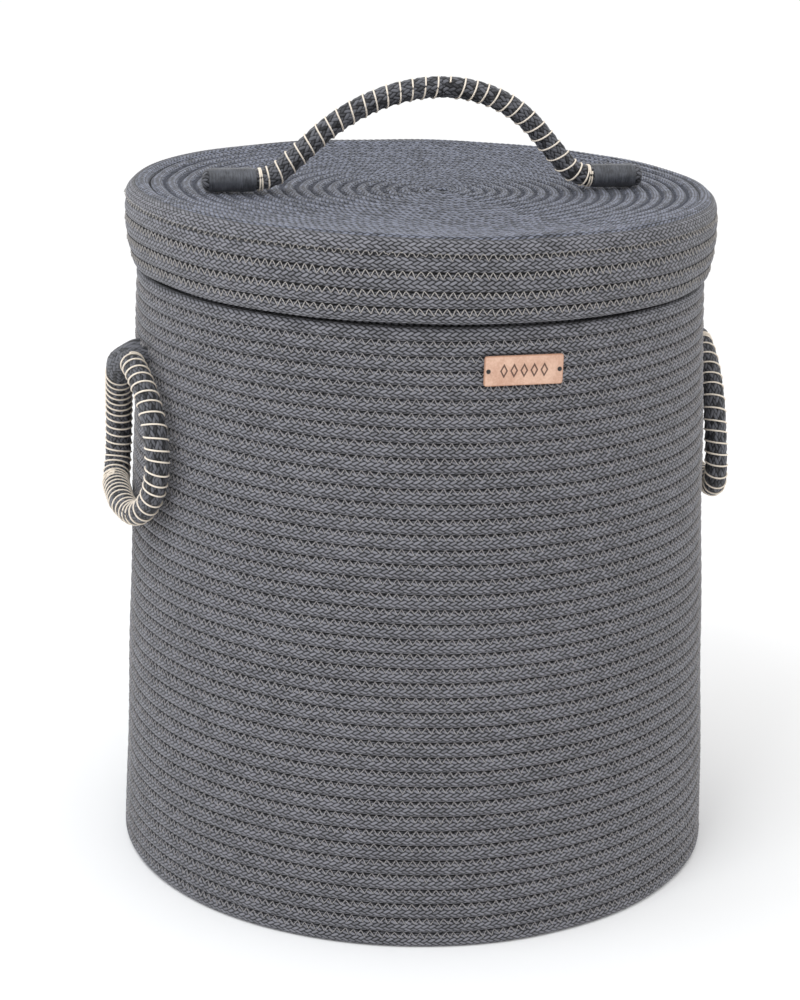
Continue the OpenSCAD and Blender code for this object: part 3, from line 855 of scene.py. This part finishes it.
def whipping(rope, name, start, stop):
    """Thread wound close round a rope end: a ridge for each turn, with a rounded edge at both ends."""
    turns = (stop - start) / WHIP_PITCH
    u = np.linspace(start, stop, int(turns * 5))
    sides = 40
    turn = math.tau * np.arange(sides) / sides
    part = (u - start) / (stop - start)
    phase = math.pi * (u[:, None] - start) / WHIP_PITCH + turn[None, :] / 2
    uneven = ripple(turn[None, :], u[:, None] * 6, 0.1 * MM, 77)
    ridge = 0.28 * MM * np.abs(np.sin(phase))
    shoulder = np.minimum(1, np.minimum(part, 1 - part) * 14)
    radius = rope.radius[0] + 0.1 * MM + 0.5 * MM * np.sqrt(np.clip(shoulder, 0, 1))[:, None] + ridge + uneven
    rings = rings_round(*rope.at(u), turn, radius[..., None])
    return tube(name, rings, u, np.linspace(0, math.tau * rope.radius[0], sides + 1))


# The carrying loops' centre line, from one tail round to the other, the tight corner first.
LOOP_R = 8.3 * MM
LOOP_DROP = 98 * MM
LOOP_HALF_W = 61 * MM
TAIL_HALF = 10 * MM         # half the distance between the two tails
CORNER_WIDE = 40 * MM
CORNER_TIGHT = 20 * MM
LOOP_LEAN = 5 * MM          # how far the lowest run hangs out from the hinge line
CUT_LAP = 7 * MM            # how far the loop and its tail run on inside each other at the hinge line
FAR_BEND = 9 * MM           # reach of the round bend where the farther tail turns down
SEAT_LIFT = {-1: 1.5 * MM, 1: -2.5 * MM}   # how unevenly the two loops were sewn in
TIE_TURN = math.radians(55)     # how far the knot in the twine is turned towards the viewer
LOOP_WRAP_R = 200 * MM      # radius of the loop's own curve round the hamper
NEAR_SLIM, FAR_FULL = 0.88, 1.03    # relative thickness of the run facing the viewer and the other


def half_loop(corner):
    """Half of a loop as sideways and down distances, from its tail to the middle of its lowest run."""
    wide, drop = LOOP_HALF_W - TAIL_HALF, LOOP_DROP - corner
    big = (wide ** 2 + drop ** 2) / (2 * wide)
    turn = math.asin(drop / big)
    arc = [(LOOP_HALF_W - big + big * math.cos(a), drop - big * math.sin(a))
           for a in np.linspace(turn, 0, 24)]
    bend = [(LOOP_HALF_W - corner + corner * math.cos(a), drop + corner * math.sin(a))
            for a in np.linspace(0, math.pi / 2, 16)[1:]]
    return arc + bend + [(0, LOOP_DROP)]


def carrying_loop(side, word):
    """A loop and its two tails through the wall. side is -1 on -X and 1 on +X."""
    hinge_x, _, hinge_z = joints[f"{word}_loop_swing"]["pos_m"]
    hinge_x = abs(hinge_x)
    seat_z = hinge_z - side * math.tan(LID_TILT) * (hinge_z / WALL_H) ** 2 * hinge_x * RIGHT[0]
    seat_z += SEAT_LIFT[side]
    tight, wide = half_loop(CORNER_TIGHT), half_loop(CORNER_WIDE)

    def place(across, down):
        x = hinge_x + LOOP_LEAN * down / LOOP_DROP - across ** 2 / (2 * LOOP_WRAP_R)
        return (side * x, side * across, seat_z - down)

    knot_x = wall_r(hinge_z) - ROPE_T - 14 * MM
    points = [place(-a, d) for a, d in tight if side > 0 or d > FAR_BEND]
    points += [place(a, d) for a, d in wide[::-1] if side < 0 or d > FAR_BEND]
    bend = [(side * (hinge_x - FAR_BEND), TAIL_HALF, seat_z - 0.5 * MM)]
    points = bend + points if side < 0 else points + bend
    ends = [(side * knot_x, y, seat_z) for y in (-side * TAIL_HALF, side * TAIL_HALF)]
    points = ends[:1] + points + ends[1:]
    rope = Rope(points, LOOP_R, (0, 0, 1), soft=8)
    whole = rope.u[-1]
    far = rope.u / whole if side > 0 else 1 - rope.u / whole
    rope.radius = LOOP_R * (NEAR_SLIM + (FAR_FULL - NEAR_SLIM) * smooth((far - 0.4) / 0.2))
    inside = hinge_x - knot_x
    # The tail on +Y stays bare at the top, and the one that faces the viewer is wound right up to the wall.
    bare, wound_end = inside + 26 * MM, inside + 7 * MM
    first, last = (wound_end, whole - bare) if side > 0 else (bare, whole - wound_end)

    def pitch(part):
        nearness = 1 - part if side > 0 else part
        corner = math.exp(-((nearness - 0.41) / 0.1) ** 2)
        return (5.8 + 1.2 * smooth((nearness - 0.4) / 0.4) + 2.4 * corner) * MM

    wraps = spaced(first, last, pitch, 60 + side)
    if side > 0:
        wraps = [first - 3 * MM, first - 1.6 * MM] + wraps
    else:
        wraps = wraps + [last + 1.4 * MM, last + 2.8 * MM]
    # The loop and its tails are cut at the hinge line, where each runs on inside the other as a round end.
    first_cut, last_cut = [
        rope.u[np.argmin(np.linalg.norm(rope.path - (side * hinge_x, y, hinge_z), axis=1))]
        for y in (-side * TAIL_HALF, side * TAIL_HALF)]
    loop = rope.body(f"{word}_loop_braid", first_cut - CUT_LAP, last_cut + CUT_LAP, wraps, 48, LOOP_R)
    dress(loop, HANDLE, f"{word}_loop", [f"{word}_loop_rope"])
    first_tail = rope.body(f"{word}_first_tail_braid", -1, first_cut + CUT_LAP, wraps, 48, LOOP_R)
    last_tail = rope.body(f"{word}_last_tail_braid", last_cut - CUT_LAP, 1, wraps, 48, LOOP_R)
    for tail in (first_tail, last_tail):
        dress(tail, HANDLE, "basket", [f"{word}_loop_tails"])
    twine = rope.twine(f"{word}_loop_winding", wraps, TWINE_R * 1.05, 0.4, -1)
    dress(twine, TWINE, f"{word}_loop", [f"{word}_loop_twine"])
    tie = twine_tie(rope, f"{word}_twine_tie", whole, side)
    dress(tie, TWINE, f"{word}_loop", [f"{word}_twine_knot"])
    knot = inner_knot(f"{word}_tail_knot", side, knot_x, seat_z)
    dress(knot, HANDLE, "basket")


def twine_tie(rope, name, whole, side):
    """The messy knot in the twine: a few turns crossed over each other on the outside of the rope."""
    t = np.linspace(0, 1, 160)
    middle = whole * (0.61 if side > 0 else 0.39)
    along = middle + 3.8 * MM * np.sin(math.tau * 2 * t + 0.4) + 0.8 * MM * np.sin(math.tau * 5 * t)
    outward = np.arctan2(np.interp(middle, rope.u, rope.up[:, 0]), np.interp(middle, rope.u, rope.side[:, 0]))
    outward += 0 if side > 0 else math.pi
    outward += TIE_TURN * side
    turn = outward + 0.5 * np.sin(math.tau * 3 * t) + 0.1 * np.cos(math.tau * 7 * t)
    lift = LOOP_R + TWINE_R * (1.7 + 1.0 * np.sin(math.tau * 4 * t))
    path = rope.point(along, turn, 1.0) - rope.point(along, turn, 0.0)
    path = rope.point(along, turn, 0.0) + path * lift[:, None]
    return thread(name, path, TWINE_R, 6)


def inner_knot(name, side, knot_x, z):
    """The knot that holds a loop's tails inside the wall: a rope in three crossing turns."""
    t = np.linspace(0, math.tau, 160)
    y = 0.0108 * (np.sin(t) + 1.25 * np.sin(2 * t))
    up = 0.0062 * (np.cos(t) - 1.6 * np.cos(2 * t)) * 0.9
    x = 0.0052 * -np.sin(3 * t)
    points = np.stack([side * (knot_x + 1 * MM + x), y, z + up], -1)
    rope = Rope(points, 5.2 * MM, (1, 0, 0), step=1.0 * MM)
    return rope.body(name, -1, 1, [], 24)


# ---------------------------------------------------------------- tag

def rounded_plate(name, width, height, thick, radius, bevel):
    """A flat plate with round corners and bevelled edges, its back on z = 0."""
    outline = []
    for cx, cy, first in ((1, 1, 0), (-1, 1, 90), (-1, -1, 180), (1, -1, 270)):
        for a in np.radians(np.linspace(first, first + 90, 7)):
            outline.append((cx * (width / 2 - radius) + radius * math.cos(a),
                            cy * (height / 2 - radius) + radius * math.sin(a)))
    outline = np.array(outline)
    scale = np.array([width, height]) / 2
    levels = [(0, bevel), (0, bevel * 0.3), (bevel * 0.5, 0), (thick - bevel, 0),
              (thick - bevel * 0.35, bevel * 0.3), (thick, bevel)]
    rings = [np.column_stack([outline * (1 - inset / scale), np.full(len(outline), z)])
             for z, inset in levels]
    rings = np.array(rings)
    return tube(name, rings, np.arange(len(levels)) * MM, np.linspace(0, 1, len(outline) + 1))


def domed_pin(name, radius, height):
    """A pin's round head."""
    turn = math.tau * np.arange(24) / 24
    rings = []
    for a in np.radians(np.linspace(0, 88, 9)):
        rings.append(np.stack([radius * math.cos(a) * np.cos(turn), radius * math.cos(a) * np.sin(turn),
                               np.full(24, height * math.sin(a))], -1))
    return tube(name, np.array(rings), np.arange(9) * MM, np.linspace(0, 1, 25))


def tag():
    """The leather tag with its plain pressed motif, and the two pins through it."""
    width, height, thick = 50 * MM, 18.2 * MM, 1.6 * MM
    z = (tag_low.z + tag_high.z) / 2
    shift = (tag_low.x + tag_high.x) / 2
    face = wall_r(z - height / 2) + 0.1 * MM
    turn = math.atan2(shift, face)
    tilt = -math.tan(LID_TILT) * (z / WALL_H) ** 2 * (shift * RIGHT[0] - face * RIGHT[1])
    place = (Matrix.Rotation(turn, 4, "Z") @ Matrix.Translation((0, -face - 0.3 * MM, z + tilt))
             @ Matrix.Rotation(math.pi / 2, 4, "X") @ Matrix.Rotation(math.radians(-1.6), 4, "Z"))
    plate = rounded_plate("name_tag_plate", width, height, thick, 1.6 * MM, 0.45 * MM)
    plate.matrix_world = place
    motif = (6.4 * MM, 2.6 * MM, 4.6 * MM, 16.0 * MM)
    dress(plate, tag_leather(width / 2, height / 2, motif), "basket", ["name_tag"])
    for side, word in ((-1, "left"), (1, "right")):
        pin = domed_pin(f"tag_pin_{word}", 1.4 * MM, 0.8 * MM)
        pin.matrix_world = place @ Matrix.Translation((side * 22.6 * MM, 0, thick))
        dress(pin, PIN, "basket", ["tag_pins"] if side < 0 else [])


# ---------------------------------------------------------------- studio

FLOOR_TONE = 0.985
SURROUND_LIGHT = 1.04


def camera():
    """The camera at the hamper's front, a little above it, with a slight roll."""
    back = Vector((math.sin(AZIMUTH) * math.cos(ELEVATION), -math.cos(AZIMUTH) * math.cos(ELEVATION),
                   math.sin(ELEVATION)))
    place = TARGET + back * DISTANCE
    aim = TARGET - Vector(RIGHT) * ASIDE
    data = bpy.data.cameras.new("camera")
    data.lens = LENS
    data.sensor_width = SENSOR
    obj = bpy.data.objects.new("camera", data)
    turn = (aim - place).to_track_quat("-Z", "Y").to_matrix().to_4x4()
    obj.matrix_world = Matrix.Translation(place) @ turn @ Matrix.Rotation(ROLL, 4, "Z")
    bpy.context.scene.collection.objects.link(obj)
    bpy.context.scene.camera = obj


def lamp(name, azimuth, elevation, distance, size, watts, colour):
    """A soft square light that faces the middle of the hamper from an azimuth and elevation."""
    data = bpy.data.lights.new(name, "AREA")
    data.shape = "SQUARE"
    data.size = size
    data.energy = watts
    data.color = colour
    a, e = AZIMUTH + math.radians(azimuth), math.radians(elevation)
    back = Vector((math.sin(a) * math.cos(e), -math.cos(a) * math.cos(e), math.sin(e)))
    obj = bpy.data.objects.new(name, data)
    obj.location = TARGET + back * distance
    obj.rotation_euler = (-back).to_track_quat("-Z", "Y").to_euler()
    bpy.context.scene.collection.objects.link(obj)


def studio():
    """A pale floor, a white surround and three soft lights."""
    half = 30.0
    corners = np.array([(-half, -half, 0), (half, -half, 0), (half, half, 0), (-half, half, 0)])
    floor = mesh_object("floor", corners, np.array([[0, 1, 2, 3]]), smooth_faces=False)
    s = Shader("floor", 0.9, 0.0)
    floor.data.materials.append(s.finish((FLOOR_TONE, FLOOR_TONE, FLOOR_TONE)))
    world = bpy.data.worlds.new("surround")
    world.use_nodes = True
    world.node_tree.nodes["Background"].inputs["Color"].default_value = (1, 1, 1, 1)
    world.node_tree.nodes["Background"].inputs["Strength"].default_value = SURROUND_LIGHT
    bpy.context.scene.world = world
    lamp("top", -28, 60, 1.8, 0.6, 8, (0.94, 0.97, 1.0))
    lamp("left", -75, 30, 1.8, 0.7, 3, (0.8, 0.88, 1.0))
    lamp("right", 80, 30, 1.8, 0.7, 0.2, (0.8, 0.88, 1.0))
    bpy.context.scene.view_settings.view_transform = "Standard"


camera()
basket()
lid()
lid_handle()
carrying_loop(-1, "left")
carrying_loop(1, "right")
tag()
studio()
